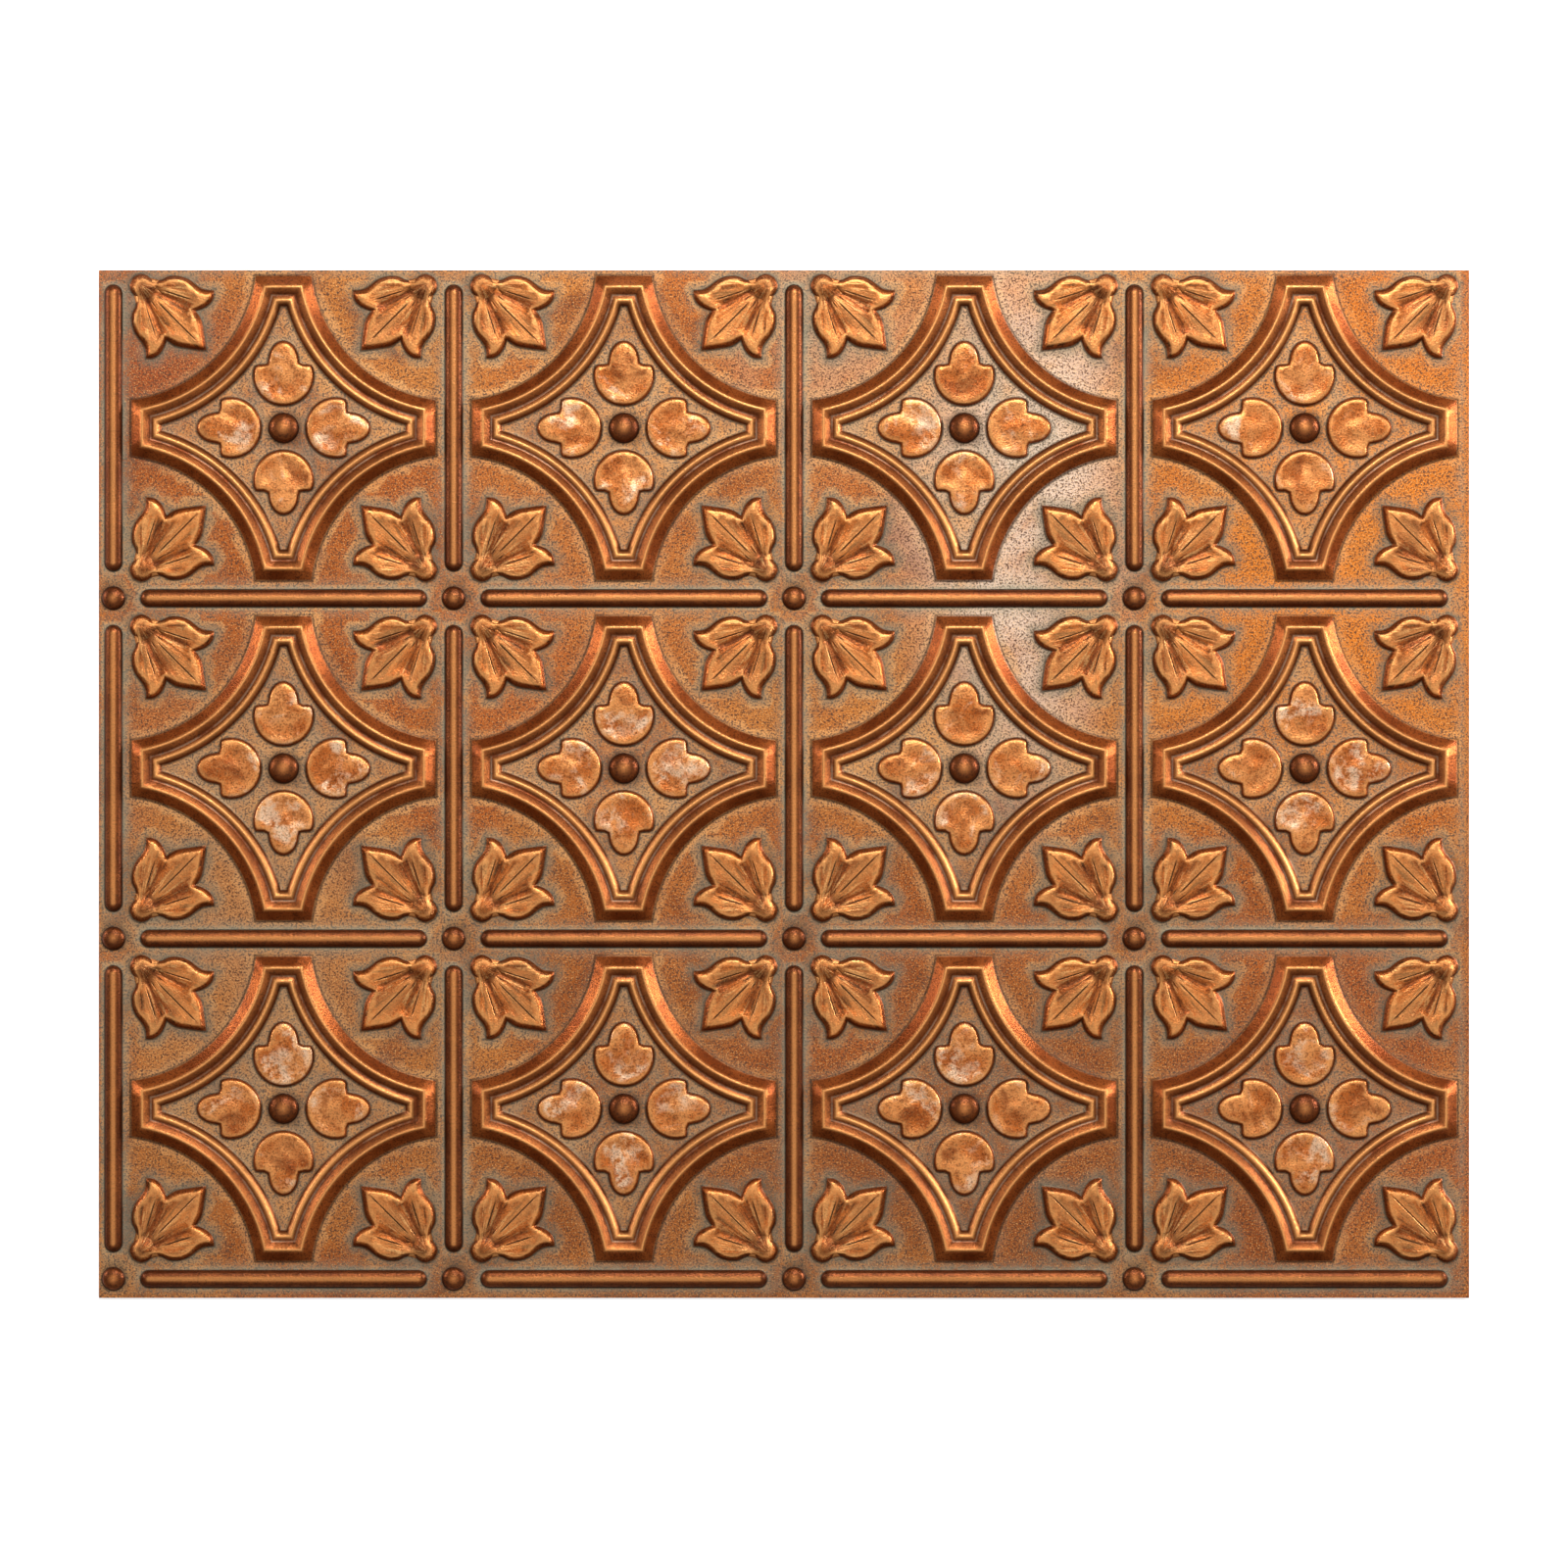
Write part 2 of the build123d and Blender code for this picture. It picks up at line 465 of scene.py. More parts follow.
def add_bead(cell, centre, size, fine):
    """A round-topped bead."""
    radius, height = size
    steps = 20 if fine else 12
    shares = BEAD_SHARES if fine else BEAD_SHARES_BACK
    for share in shares:
        rise = height * sqrt(max(0.0, 1 - (share / DOME) ** 2)) if share < 1 else 0.0
        # The bead's bright top is a painted highlight; the dark at its foot and down its round sides is
        # painted shade, with some dark wash
        wash = 0.9 * peak(share, 1.0, 0.1) + 0.75 * peak(share, 0.6, 0.35)
        crest = 0.5 * peak(share, 0.0, 0.35)
        cell.ring(circle_ring(centre, radius * share, steps), rise, MOULDING, wash=wash, crest=crest)
    cell.add([centre], height, MOULDING, crest=0.5)
    cell.outline(circle_ring(centre, radius, 16), 0.5)


def add_rib(cell, centre, upright, fine):
    """A half-round rib with round ends."""
    length = PITCH - 2 * RIB_END_GAP
    steps, cap_steps = (12, 8) if fine else (6, 4)
    shares = RIB_SHARES if fine else RIB_SHARES_BACK
    angle = pi / 2 if upright else 0.0
    for share in shares:
        rise = RIB_HEIGHT * sqrt(max(0.0, 1 - (share / DOME) ** 2)) if share < 1 else 0.0
        ring = turned(rib_ring(length, RIB_HALF_WIDTH * share, steps, cap_steps), angle) + np.array(centre)
        # The narrow bright crest is worn paint and painted highlight; the dark at the rib's foot and down
        # its round sides is painted shade, with some dark wash
        wash = 0.9 * peak(share, 1.0, 0.1) + 0.85 * peak(share, 0.6, 0.3)
        cell.ring(ring, rise, MOULDING, wash=wash, crest=0.8 * peak(share, 0.0, 0.25))
    outline = turned(rib_ring(length, RIB_HALF_WIDTH, 8, 4), angle) + np.array(centre)
    cell.outline(outline, 1.0)


def add_petals(cell, fine):
    """Four petals about the centre: a dished lobe with a stem whose ridge runs into it."""
    foot = petal_foot(2.0 if fine else 4.5)
    walls = PETAL_WALL if fine else [PETAL_WALL[1], PETAL_WALL[4]]
    rings = [(moved_in(foot, inset), height) for inset, height in walls]
    rim = rings[-1][0]
    inner = grid((8, -15), (40, 15), 2.1 if fine else 4.5)
    gap = distance_to(rim, inner)
    keep = inside(rim, inner) & (gap > (0.8 if fine else 1.8))
    inner, gap = inner[keep], gap[keep]
    valley_width = 5.4 * (inner[:, 0] - PETAL_VALLEY) / (PETAL_SHOULDER - PETAL_VALLEY)
    valley_width = np.minimum(valley_width, 5.4)
    ridge = smoothstep(-1.6, 0.8, valley_width - np.abs(inner[:, 1]))
    dish = smoothstep(0.0, 4.0, gap) * (1 - ridge)
    height = PETAL_HEIGHT - PETAL_DISH * dish + 0.12 * ridge
    for turn in range(4):
        angle = turn * pi / 2
        for (ring, rise), (inset, _) in zip(rings, walls):
            # The bright rim is worn paint and painted highlight; the dark at the petal's foot is painted
            # shade in the crease, with some dark wash
            crest = 0.6 * peak(inset, 1.7, 0.4)
            wash = max(0.75 * peak(inset, 0.0, 0.4), 0.5 * peak(inset, 0.5, 0.4))
            cell.ring(turned(ring, angle), rise, PETAL, wash=wash, crest=crest)
        cell.add(turned(inner, angle), height, PETAL)
        cell.outline(turned(petal_foot(4.0), angle), 0.6)


def fan_height(angle):
    """The leaf's three lobes: height against the angle from its middle line, in degrees."""
    a = np.abs(angle)
    height = 0.30 * np.exp(-((a / 9) ** 2))
    height -= 0.45 * np.exp(-(((a - 19.5) / 3.6) ** 2))
    height += 0.30 * np.exp(-(((a - 31) / 6) ** 2))
    return height


def fan_place(points):
    """How far each point is from where the veins start, and at what angle in degrees."""
    reach = np.hypot(LEAF_FAN - points[:, 0], points[:, 1])
    return reach, np.degrees(np.arctan2(points[:, 1], LEAF_FAN - points[:, 0]))


def bulb_height(points):
    """The leaf's round root: its height above the leaf's rim."""
    middle, radius, rise = BULB
    away = np.hypot(points[:, 0] - middle, points[:, 1]) / radius
    return rise * np.clip(1 - away**2, 0, 1) ** 1.5


def add_leaves(cell, fine):
    """Four leaves on the diagonals, with a raised rim, fanned veins and a round root."""
    levels = LEAF_WALL if fine else [LEAF_WALL[1], LEAF_WALL[4]]
    rings = leaf_rings([level for level, _ in levels], 2 if fine else 1)
    if not fine:
        rings = [ring[::2] for ring in rings]
    rim = rings[-1]
    if fine:
        angles = LEAF_SPOKES + [-s for s in LEAF_SPOKES if s]
        inner = [
            (LEAF_FAN - r * cos(radians(a)), r * sin(radians(a)))
            for a in angles
            for r in np.arange(5.8, 40.0, 2.4)
        ]
        inner = [p for p in inner if hypot(p[0] - BULB[0], p[1]) > 4.2]
        root = (BULB[0], 0.0)
        inner += circle_ring(root, 3.2, 12) + circle_ring(root, 1.7, 8) + [root]
        inner = np.array(inner)
    else:
        inner = grid((50, -20), (90, 20), 5.0)
    gap = distance_to(rim, inner)
    keep = inside(rim, inner) & (gap > (0.55 if fine else 1.6))
    inner, gap = inner[keep], gap[keep]
    reach, angle = fan_place(inner)
    on_blade = smoothstep(5.0, 8.5, reach)
    dish = smoothstep(0.0, 3.2, gap) * on_blade
    veins = fan_height(angle) * smoothstep(0.0, 2.0, gap) * smoothstep(6.0, 10.0, reach)
    hollow = np.exp(-(((reach - 8.6) / 1.8) ** 2)) * smoothstep(0, 1.5, gap)
    height = LEAF_HEIGHT - LEAF_DISH * dish + veins - 0.8 * hollow + bulb_height(inner)
    bulb = bulb_height(inner) / BULB[2]
    # Vein ridges and the root's top are brightened as painted highlight; the vein valleys, the hollow below
    # the root and the root's round sides are darkened as painted shade
    ridge = 0.5 * np.clip(veins / 0.3, 0, 1) + 0.1 * bulb**3
    dark = 0.45 * np.clip(-veins / 0.4, 0, 1) + 0.55 * hollow + 0.75 * bulb * (1.2 - bulb**3)
    for turn in range(4):
        turn_angle = pi / 4 + turn * pi / 2
        for ring, (level, rise) in zip(rings, levels):
            # The bright rim is worn paint and painted highlight; the dark at the leaf's foot is painted
            # shade in the crease, with some dark wash
            crest = 0.75 * peak(level, 1.0, 0.16)
            wash = max(0.75 * peak(level, 0.0, 0.22), 0.5 * peak(level, 0.3, 0.25))
            along, across = fan_place(np.array(ring))
            cell.ring(
                turned(ring, turn_angle), rise, LEAF, wash=wash, crest=crest, fan=across, reach=along
            )
        cell.add(
            turned(inner, turn_angle), height, LEAF, wash=dark, crest=ridge, fan=angle, reach=reach
        )
        cell.outline(turned(leaf_rings([0.0], 1)[0], turn_angle), 0.75)


def make_cell(fine):
    """One tile's face, or its plainer hollow back."""
    cell = Cell()
    low = -HALF - CELL_SHIFT
    high = low + PITCH
    steps = CELL_STEPS
    side = [(low + PITCH * i / steps, low) for i in range(steps)]
    border = side + [(high, x) for x, _ in side]
    border += [(high - (x - low), high) for x, _ in side]
    border += [(low, high - (x - low)) for x, _ in side]
    cell.ring(border, 0.0)
    add_star(cell, fine)
    add_petals(cell, fine)
    add_leaves(cell, fine)
    add_rib(cell, (0.0, -HALF), False, fine)
    add_rib(cell, (-HALF, 0.0), True, fine)
    add_bead(cell, (0.0, 0.0), CENTRE_BEAD, fine)
    add_bead(cell, (-HALF, -HALF), CORNER_BEAD, fine)
    if fine:
        step = PITCH / steps
        field = grid((low + step, low + step), (high - step / 2, high - step / 2), 4.6, step)
    else:
        field = grid((low + 8, low + 8), (high - 6, high - 6), 16.0)
    margin = 1.9 if fine else 4.0
    keep = np.ones(len(field), dtype=bool)
    for outline, _ in cell.outlines:
        keep &= distance_to(outline, field) > margin
    star_outer, star_inner = cell.outlines[0][0], cell.outlines[1][0]
    keep &= ~inside(star_outer, field) | inside(star_inner, field)
    for outline, _ in cell.outlines[2:]:
        keep &= ~inside(outline, field)
    field = field[keep]
    cell.add(field, 0.0, BOWL * inside(star_inner, field))
    return cell


def patina_near(cell, points):
    """How much of the dull wash each point gathers: more beside a relief, most between two."""
    near = np.zeros(len(points))
    far = np.zeros(len(points))
    low, high = points.min(axis=0) - PATINA_REACH, points.max(axis=0) + PATINA_REACH
    for across in (-PITCH, 0.0, PITCH):
        for up in (-PITCH, 0.0, PITCH):
            for outline, wash in cell.outlines:
                moved = outline + (across, up)
                if (moved.max(axis=0) < low).any() or (moved.min(axis=0) > high).any():
                    continue
                away = distance_to(moved, points)
                near = np.maximum(near, wash * np.exp(-away / PATINA_NEAR))
                far += wash * np.exp(-away / PATINA_FAR)
    return np.maximum(near, 1 - np.exp(-PATINA_GATHER * far**2))


def panel_sides():
    """The coordinates of the grid of border points, along X and along Y, edges included."""
    lows = (-HALF - CELL_SHIFT) + TILE_X[0], (-HALF - CELL_SHIFT) + TILE_Y[0]
    xs = [lows[0] + PITCH * i / CELL_STEPS for i in range(COLUMNS * CELL_STEPS + 1)]
    ys = [lows[1] + PITCH * i / CELL_STEPS for i in range(ROWS * CELL_STEPS + 1)]
    return xs, ys


PLAIN = (0.0,) * (len(Cell.MASKS) + 1)


def skin(cell, lift, flip):
    """One side of the sheet over the whole panel: vertices, faces and masks, before welding."""
    points, values, faces = cell.triangles()
    patina = patina_near(cell, points)
    verts, masks, polygons = [], [], []
    for cx in TILE_X:
        for cy in TILE_Y:
            start = len(verts)
            for (x, y), masked, dull in zip(points, values, patina):
                verts.append((cx + x, cy + y, lift + masked[0]))
                masks.append((*masked, dull))
            polygons += [tuple(start + i for i in face) for face in faces]
    xs, ys = panel_sides()
    left, right = PANEL_LOW[0], PANEL_HIGH[0]
    bottom, top = PANEL_LOW[1], PANEL_HIGH[1]
    rows = [bottom] + ys + [top]
    for x0, x1 in ((left, xs[0]), (xs[-1], right)):
        for y0, y1 in zip(rows, rows[1:]):
            polygons.append(tuple(range(len(verts), len(verts) + 4)))
            verts += [(x0, y0, lift), (x1, y0, lift), (x1, y1, lift), (x0, y1, lift)]
            masks += [PLAIN] * 4
    for x0, x1 in zip(xs, xs[1:]):
        for y0, y1 in ((bottom, ys[0]), (ys[-1], top)):
            polygons.append(tuple(range(len(verts), len(verts) + 4)))
            verts += [(x0, y0, lift), (x1, y0, lift), (x1, y1, lift), (x0, y1, lift)]
            masks += [PLAIN] * 4
    if flip:
        polygons = [face[::-1] for face in polygons]
    return verts, polygons, masks


def panel_mesh():
    """The whole sheet as one closed mesh, with its masks as attributes."""
    front = skin(make_cell(True), SHEET, False)
    back = skin(make_cell(False), 0.0, True)
    verts = front[0] + back[0]
    faces = front[1] + [tuple(len(front[0]) + i for i in face) for face in back[1]]
    masks = front[2] + back[2]
    sides = [0] * len(front[0]) + [1] * len(back[0])
    xs, ys = panel_sides()
    xs = [PANEL_LOW[0]] + xs + [PANEL_HIGH[0]]
    ys = [PANEL_LOW[1]] + ys + [PANEL_HIGH[1]]
    bottom, top = (PANEL_LOW[1], PANEL_HIGH[1])
    outline = [(x, bottom) for x in xs] + [(xs[-1], y) for y in ys[1:]]
    outline += [(x, top) for x in reversed(xs[:-1])] + [(xs[0], y) for y in reversed(ys[1:-1])]
    for (x0, y0), (x1, y1) in zip(outline, outline[1:] + outline[:1]):
        faces.append(tuple(range(len(verts), len(verts) + 4)))
        verts += [(x0, y0, 0.0), (x1, y1, 0.0), (x1, y1, SHEET), (x0, y0, SHEET)]
        masks += [PLAIN] * 4
        sides += [2] * 4
    places = {}
    index = []
    kept = []
    for i, point in enumerate(verts):
        key = tuple(round(v, 3) for v in point)
        if key not in places:
            places[key] = len(kept)
            kept.append(i)
        index.append(places[key])
    mesh = bpy.data.meshes.new("formed_sheet")
    welded = [tuple(dict.fromkeys(index[i] for i in face)) for face in faces]
    welded = [face for face in welded if len(face) > 2]
    mesh.from_pydata([tuple(v * MM for v in verts[i]) for i in kept], [], welded)
    for k, name in enumerate((*Cell.MASKS, "patina")):
        layer = mesh.attributes.new(name, "FLOAT", "POINT")
        layer.data.foreach_set("value", [masks[i][k] for i in kept])
    mesh.polygons.foreach_set("use_smooth", [len(face) == 3 for face in welded])
    mesh.validate()
    mesh.update()
    return mesh


class Nodes:
    """A material's node tree, with short ways to add and join its nodes."""

    def __init__(self, name):
        self.material = bpy.data.materials.new(name)
        self.material.use_nodes = True
        self.tree = self.material.node_tree
        self.tree.nodes.clear()

    def node(self, kind, **inputs):
        """A node, with its inputs set by name to a value or to another node's output."""
        node = self.tree.nodes.new(kind)
        for key, value in inputs.items():
            self.put(node, key.replace("_", " "), value)
        return node

    def put(self, node, socket, value):
        """Set or join one input."""
        target = node.inputs[socket]
        if isinstance(value, bpy.types.NodeSocket):
            self.tree.links.new(value, target)
        else:
            target.default_value = value

    def math(self, operation, a, b=0.0, clamp=False):
        """A sum of one or two values."""
        node = self.tree.nodes.new("ShaderNodeMath")
        node.operation = operation
        node.use_clamp = clamp
        self.put(node, 0, a)
        self.put(node, 1, b)
        return node.outputs[0]

    def mix(self, factor, a, b, blend="MIX"):
        """Two colours mixed by a factor."""
        node = self.tree.nodes.new("ShaderNodeMix")
        node.data_type = "RGBA"
        node.blend_type = blend
        self.put(node, 0, factor)
        self.put(node, 6, a)
        self.put(node, 7, b)
        return node.outputs[2]

    def ramp(self, value, low, high):
        """A value stretched from low..high to 0..1."""
        node = self.tree.nodes.new("ShaderNodeMapRange")
        node.interpolation_type = "SMOOTHSTEP"
        self.put(node, "Value", value)
        self.put(node, "From Min", low)
        self.put(node, "From Max", high)
        return node.outputs[0]

    def attribute(self, name):
        """A mask that the mesh carries."""
        node = self.tree.nodes.new("ShaderNodeAttribute")
        node.attribute_name = name
        return node.outputs["Fac"]

    def vector(self, operation, a, b):
        """A sum of two vectors."""
        node = self.tree.nodes.new("ShaderNodeVectorMath")
        node.operation = operation
        self.put(node, 0, a)
        self.put(node, 1, b)
        return node.outputs["Vector"]

    def noise_colour(self, vector, scale, detail):
        """A noise colour, for moving coordinates about."""
        return self.node("ShaderNodeTexNoise", Vector=vector, Scale=scale, Detail=detail).outputs["Color"]

    def noise(self, vector, scale, detail=2.0, roughness=0.5, distortion=0.0):
        """A noise value."""
        node = self.node(
            "ShaderNodeTexNoise",
            Vector=vector,
            Scale=scale,
            Detail=detail,
            Roughness=roughness,
            Distortion=distortion,
        )
        return node.outputs["Fac"]


def srgb(red, green, blue):
    """A colour given as it looks, 0 to 255, as linear values."""
    def linear(v):
        v /= 255
        return v / 12.92 if v <= 0.04045 else ((v + 0.055) / 1.055) ** 2.4
    return (linear(red), linear(green), linear(blue), 1.0)


def stain_and_sheen_patch(n, place, centre, radii):
    """A soft round patch on the panel, 1 in its middle and 0 past its radii, in metres."""
    moved = n.vector("SUBTRACT", place, (centre[0], centre[1], 0.0))
    shrunk = n.vector("MULTIPLY", moved, (1 / radii[0], 1 / radii[1], 0.0))
    length = n.tree.nodes.new("ShaderNodeVectorMath")
    length.operation = "LENGTH"
    n.tree.links.new(shrunk, length.inputs[0])
    return n.ramp(length.outputs["Value"], 1.0, 0.15)


def field_colour(n, place, grains, area):
    """The flat ground: tan to orange, in clouds and stains, with a painted reflection near the top of the
    third column, darker towards the bottom, and pale and dark grains.
    """
    broad = n.noise(place, 7.0, 3.0, 0.55, 0.6)
    cloudy = n.noise(place, 30.0, 4.0, 0.62, 0.5)
    drift = n.noise_colour(place, 9.0, 3.0)
    drifted = n.vector("ADD", place, n.vector("MULTIPLY", n.vector("SUBTRACT", drift, HALF_GREY), DRIFT))
    colour = n.mix(n.ramp(broad, 0.40, 0.60), srgb(*TAN), srgb(*ORANGE))
    colour = n.mix(n.math("MULTIPLY", n.ramp(cloudy, 0.48, 0.68), 0.75), colour, srgb(*RUST))
    in_bowl = n.math("MULTIPLY", n.ramp(area, 0.0, BOWL), n.ramp(cloudy, 0.70, 0.35))
    colour = n.mix(n.math("MULTIPLY", in_bowl, 0.75), colour, srgb(*SAND))
    # Stains, the painted reflection and the darkening towards the bottom, one patch after another
    for centre, radii, paint, strength in STAINS_AND_SHEEN:
        share = n.math("MULTIPLY", stain_and_sheen_patch(n, drifted, centre, radii), strength)
        share = n.math("MULTIPLY", share, n.ramp(cloudy, 0.22, 0.55))
        colour = n.mix(share, colour, srgb(*paint))
    colour = n.mix(n.math("MULTIPLY", grains["pale"], 0.75), colour, srgb(*PALE_GRAIN))
    return n.mix(n.math("MULTIPLY", grains["dark"], 0.95), colour, srgb(*DARK_GRAIN))


def leaf_veins(n, place):
    """Thin dark veins, painted shade in their grooves, and finer streaks that fan out from the leaf's root
    and are painted highlight and shade along fine ridges.
    """
    fan = n.attribute("fan")
    reach = n.attribute("reach")
    turn = n.math("ABSOLUTE", fan)
    drawn = None
    for angle, start, end in VEINS:
        aside = n.math("MULTIPLY", n.math("ABSOLUTE", n.math("SUBTRACT", turn, angle)), reach)
        line = n.math("MULTIPLY", n.ramp(aside, VEIN_EDGE, VEIN_CORE), n.ramp(reach, start, start + 4))
        line = n.math("MULTIPLY", line, n.ramp(reach, end, end - 4))
        drawn = line if drawn is None else n.math("MAXIMUM", drawn, line)
    combed = n.tree.nodes.new("ShaderNodeCombineXYZ")
    n.put(combed, 0, n.math("MULTIPLY", fan, 0.16))
    n.put(combed, 1, n.math("MULTIPLY", reach, 0.05))
    apart = n.tree.nodes.new("ShaderNodeSeparateXYZ")
    n.tree.links.new(place, apart.inputs[0])
    n.put(combed, 2, n.math("MULTIPLY", n.math("ADD", apart.outputs[0], apart.outputs[1]), 9.0))
    streaks = n.noise(combed.outputs[0], 1.6, 3.0, 0.6)
    return drawn, streaks


def copper_material():
    """Copper-look paint on PVC: mottled and grainy, dark on the slopes and dull in the hollows, with
    painted shade at the reliefs' feet, in creases and on round sides, and painted highlights on crests and
    rims.
    """
    n = Nodes("copper_pvc")
    place = n.tree.nodes.new("ShaderNodeTexCoord").outputs["Object"]
    wash = n.attribute("wash")
    crest = n.attribute("crest")
    area = n.attribute("area")
    patina = n.attribute("patina")
    height = n.attribute("height")

    fine = n.noise(place, 1150.0, 2.0, 0.7)
    coarse = n.noise(place, 1500.0, 2.0, 0.6)
    patchy = n.noise(place, 70.0, 4.0, 0.65)
    grains = {
        "dark": n.math("MULTIPLY", n.ramp(fine, 0.50, 0.62), n.ramp(patchy, 0.10, 0.50)),
        "pale": n.ramp(coarse, 0.52, 0.70),
    }
    ground = field_colour(n, place, grains, area)
    film = n.math("ADD", n.math("MULTIPLY", patchy, 0.9), n.math("MULTIPLY", fine, 0.8))
    dull = n.math("MULTIPLY", patina, n.ramp(film, 0.50, 1.0), True)
    ground = n.mix(n.math("MULTIPLY", dull, 1.2, True), ground, srgb(*PATINA))
    ground = n.mix(n.math("MULTIPLY", grains["dark"], 0.35), ground, srgb(*DARK_GRAIN))

    raised = n.ramp(height, 0.10, 0.75)
    wall = n.mix(n.ramp(patchy, 0.35, 0.65), srgb(*WALL), srgb(*WALL_WORN))
    wall = n.mix(n.math("MULTIPLY", grains["dark"], 0.6), wall, srgb(*SOOT_AND_SHADE))

    veins, streaks = leaf_veins(n, place)
    mottle = n.noise(place, 190.0, 3.0, 0.7)
    leaf = n.mix(n.ramp(patchy, 0.40, 0.62), srgb(*LEAF_TOP), srgb(*LEAF_WORN))
    leaf = n.mix(n.math("MULTIPLY", n.ramp(mottle, 0.52, 0.66), 0.6), leaf, srgb(*RUST))
    # Pale and dark streaks along the fine ridges that fan from the root: painted highlight and shade
    streak_highlight = n.math("MULTIPLY", n.ramp(streaks, 0.52, 0.64), n.ramp(n.attribute("reach"), 34.0, 14.0))
    leaf = n.mix(n.math("MULTIPLY", streak_highlight, 0.65), leaf, srgb(*PALE_GRAIN))
    leaf = n.mix(n.math("MULTIPLY", n.ramp(streaks, 0.47, 0.34), 0.8), leaf, srgb(*SOOT_AND_SHADE))
    petal = n.mix(n.ramp(patchy, 0.38, 0.62), srgb(*PETAL_TOP), srgb(*PETAL_WORN))
    blotch = n.noise(place, 48.0, 3.0, 0.6, 0.8)
    petal = n.mix(n.math("MULTIPLY", n.ramp(blotch, 0.46, 0.30), 0.75), petal, srgb(*RUST))
    petal = n.mix(n.math("MULTIPLY", n.ramp(mottle, 0.52, 0.66), 0.5), petal, srgb(*RUST))
    chalky = n.math("MULTIPLY", n.ramp(blotch, 0.50, 0.64), n.ramp(mottle, 0.62, 0.40))
    petal = n.mix(n.math("MULTIPLY", chalky, 0.85), petal, srgb(*CHALK))
    top = n.mix(n.ramp(area, 0.75, 0.95), leaf, petal)
    top = n.mix(n.math("MULTIPLY", grains["dark"], 0.55), top, srgb(*SOOT_AND_SHADE))
    top = n.mix(n.math("MULTIPLY", grains["pale"], 0.25), top, srgb(*PALE_GRAIN))

    colour = n.mix(raised, ground, wall)
    on_top = n.math("MULTIPLY", n.ramp(height, 1.25, 1.8), n.ramp(area, 0.45, 0.65))
    colour = n.mix(on_top, colour, top)
    # Crests and rims brightened: worn paint and painted highlight
    crest_wear_and_highlight = n.math("MULTIPLY", crest, n.math("SUBTRACT", 1.15, n.math("MULTIPLY", fine, 0.6)), True)
    colour = n.mix(crest_wear_and_highlight, colour, srgb(*CREST_WEAR_AND_HIGHLIGHT))
    # Darkened at the reliefs' feet, in creases, in hollows and down round sides: painted shade, with some
    # dark wash
    colour = n.mix(n.math("MULTIPLY", wash, 0.9, True), colour, srgb(*SOOT_AND_SHADE))
    groove = n.math("MULTIPLY", n.attribute("groove"), n.ramp(patchy, 0.35, 0.60))
    colour = n.mix(n.math("MULTIPLY", groove, 0.45), colour, srgb(*PATINA))
    # The leaf's veins drawn dark: painted shade in their grooves
    veins = n.math("MULTIPLY", veins, on_top)
    colour = n.mix(n.math("MULTIPLY", veins, 0.9), colour, srgb(*SOOT_AND_SHADE))

    relief = n.math("ADD", fine, n.math("MULTIPLY", streaks, n.math("MULTIPLY", on_top, 1.2)))
    relief = n.math("SUBTRACT", relief, n.math("MULTIPLY", veins, 1.5))
    bump = n.node("ShaderNodeBump", Strength=BUMP_STRENGTH, Distance=BUMP_DEPTH, Height=relief)
    shader = n.node(
        "ShaderNodeBsdfPrincipled",
        Base_Color=colour,
        Metallic=METALLIC,
        Roughness=n.math("SUBTRACT", ROUGH_GROUND, n.math("MULTIPLY", raised, ROUGH_DROP)),
        Specular_IOR_Level=SPECULAR,
        Normal=bump.outputs[0],
    )
    output = n.tree.nodes.new("ShaderNodeOutputMaterial")
    n.tree.links.new(shader.outputs[0], output.inputs[0])
    return n.material


def floor_material():
    """A pale floor that is white to the camera and in reflections, and keeps the shadow."""
    n = Nodes("pale_floor")
    rays = n.tree.nodes.new("ShaderNodeLightPath")
    seen = n.math("MAXIMUM", rays.outputs["Is Camera Ray"], rays.outputs["Is Glossy Ray"])
    seen = n.math("MAXIMUM", seen, rays.outputs["Is Transmission Ray"])
    diffuse = n.node("ShaderNodeBsdfDiffuse", Color=(0.8, 0.8, 0.8, 1.0))
    strength = n.math("MULTIPLY", seen, FLOOR_GLOW)
    glow = n.node("ShaderNodeEmission", Color=(1.0, 1.0, 1.0, 1.0), Strength=strength)
    both = n.tree.nodes.new("ShaderNodeAddShader")
    n.tree.links.new(diffuse.outputs[0], both.inputs[0])
    n.tree.links.new(glow.outputs[0], both.inputs[1])
    output = n.tree.nodes.new("ShaderNodeOutputMaterial")
    n.tree.links.new(both.outputs[0], output.inputs[0])
    return n.material


def make_panel():
    """The formed sheet, standing for the panel's CAD solid."""
    panel = bpy.data.objects.new("formed_sheet", panel_mesh())
    bpy.context.scene.collection.objects.link(panel)
    panel.data.materials.append(copper_material())
    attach(panel, "root")
    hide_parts("panel_sheet")


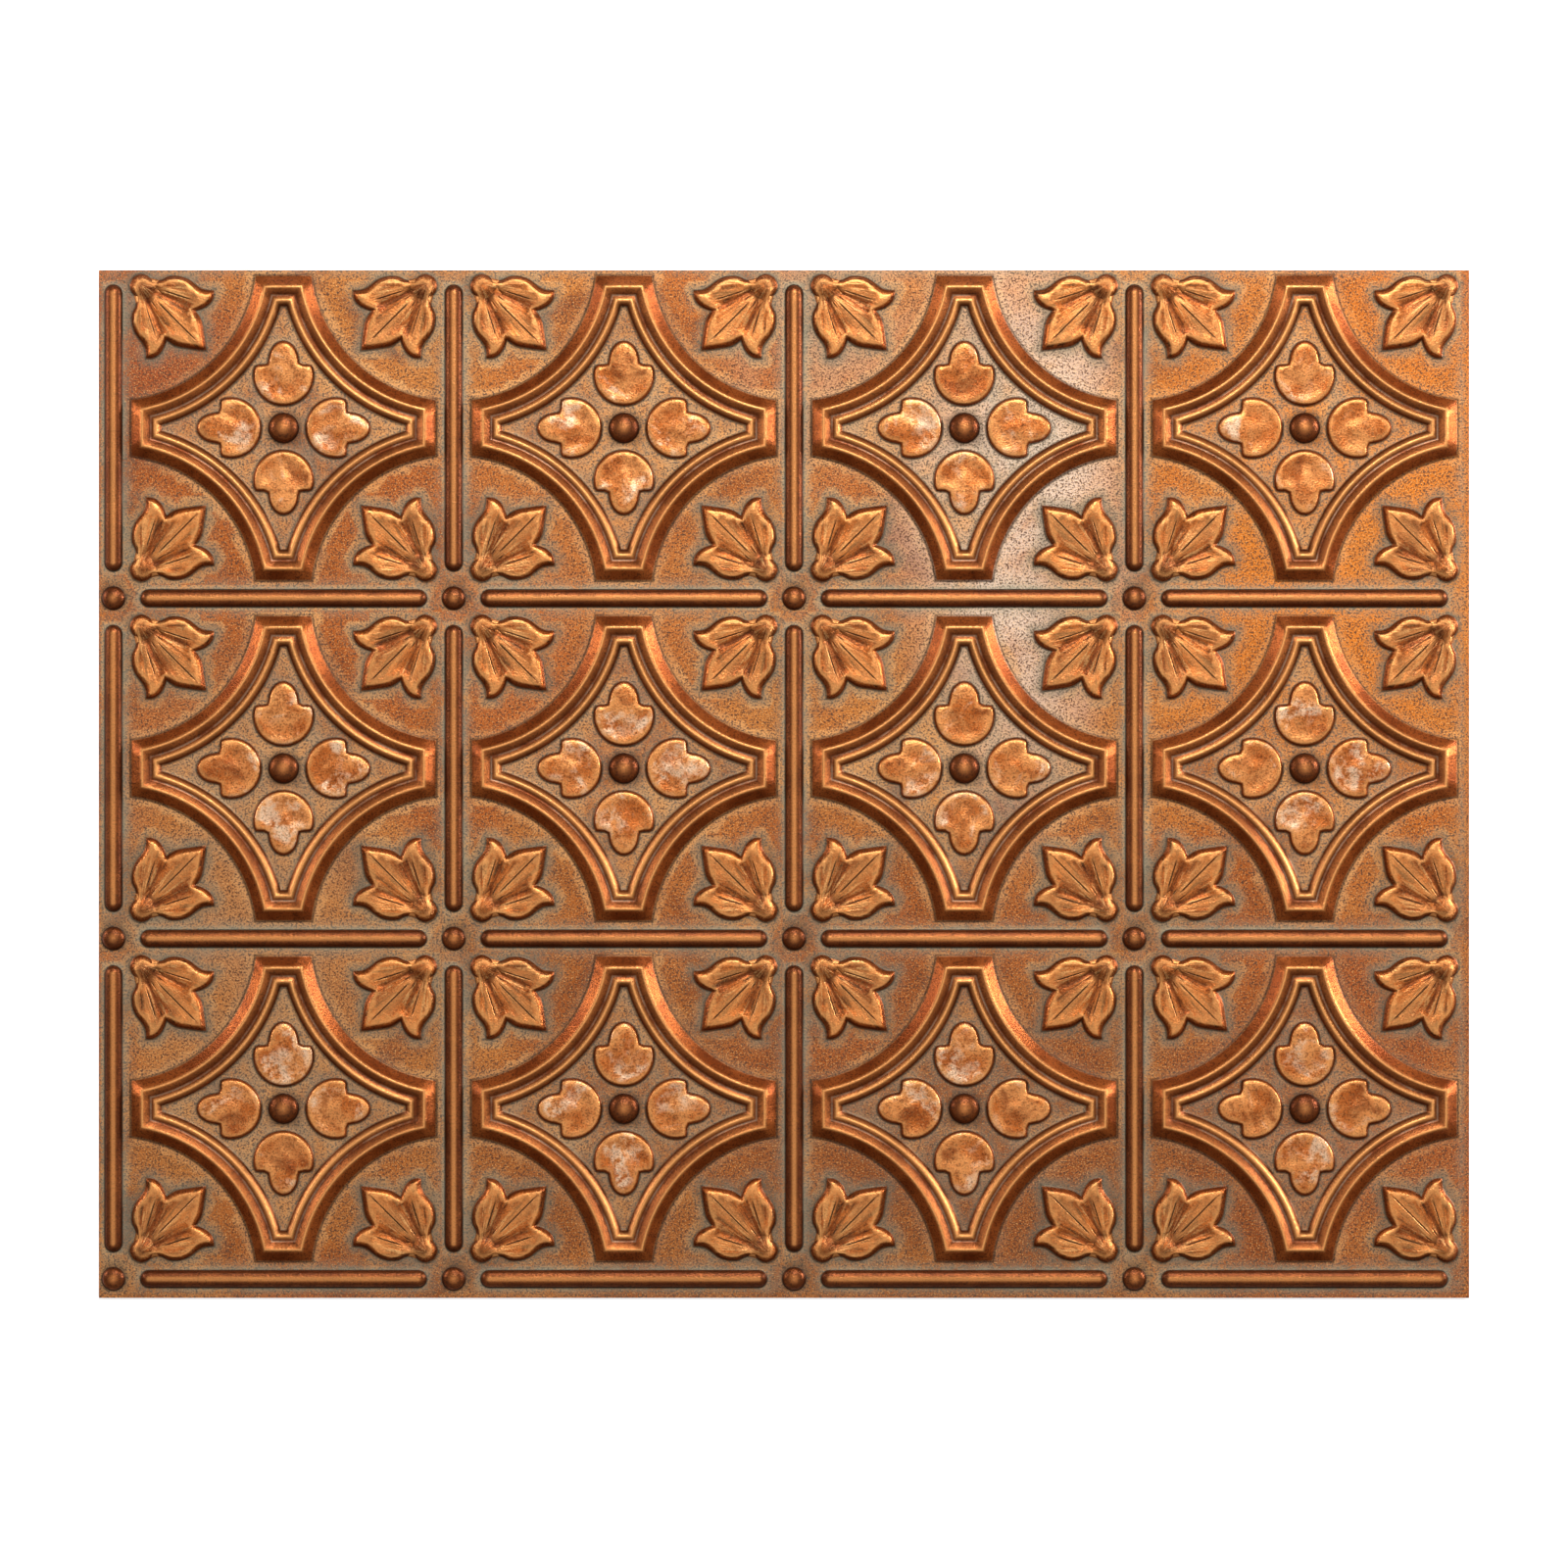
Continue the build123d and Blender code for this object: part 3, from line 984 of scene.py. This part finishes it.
def make_floor():
    """The floor that the panel lies on."""
    bpy.ops.mesh.primitive_plane_add(size=FLOOR_SIZE, location=(0, 0, -FLOOR_DROP))
    floor = bpy.context.object
    floor.name = "floor"
    floor.data.materials.append(floor_material())


def add_light(name, place, target, size, power):
    """A square soft light that faces a point."""
    lamp = bpy.data.lights.new(name, "AREA")
    lamp.energy = power
    lamp.size = size
    light = bpy.data.objects.new(name, lamp)
    light.location = place
    light.rotation_euler = (Vector(target) - Vector(place)).to_track_quat("-Z", "Y").to_euler()
    bpy.context.scene.collection.objects.link(light)
    light.visible_camera = False


def make_lights():
    """A soft key light past the top of the picture, low ones at its sides, and a sky."""
    for lamp in LAMPS:
        add_light(*lamp)
    world = bpy.data.worlds.new("studio")
    world.use_nodes = True
    tree = world.node_tree
    background = tree.nodes["Background"]
    background.inputs["Color"].default_value = (1.0, 1.0, 1.0, 1.0)
    direction = tree.nodes.new("ShaderNodeTexCoord")
    parts = tree.nodes.new("ShaderNodeSeparateXYZ")
    rise = tree.nodes.new("ShaderNodeMapRange")
    rise.interpolation_type = "SMOOTHSTEP"
    for socket, value in zip(("From Min", "From Max", "To Min", "To Max"), SKY):
        rise.inputs[socket].default_value = value
    tree.links.new(direction.outputs["Generated"], parts.inputs[0])
    tree.links.new(parts.outputs["Z"], rise.inputs["Value"])
    tree.links.new(rise.outputs[0], background.inputs["Strength"])
    bpy.context.scene.world = world


def make_camera():
    """A long lens straight above the panel, framed as the photograph."""
    across = PHOTO_SIZE * PANEL_LENGTH / (PHOTO_RIGHT - PHOTO_LEFT)
    camera_data = bpy.data.cameras.new("camera")
    camera_data.lens = camera_data.sensor_width * CAMERA_HEIGHT / across
    camera_data.clip_end = 50.0
    camera = bpy.data.objects.new("camera", camera_data)
    camera.location = (0.0, 0.0, CAMERA_HEIGHT + box_high[2])
    bpy.context.scene.collection.objects.link(camera)
    bpy.context.scene.camera = camera


bpy.context.scene.view_settings.view_transform = "Standard"
make_camera()
make_lights()
make_floor()
make_panel()
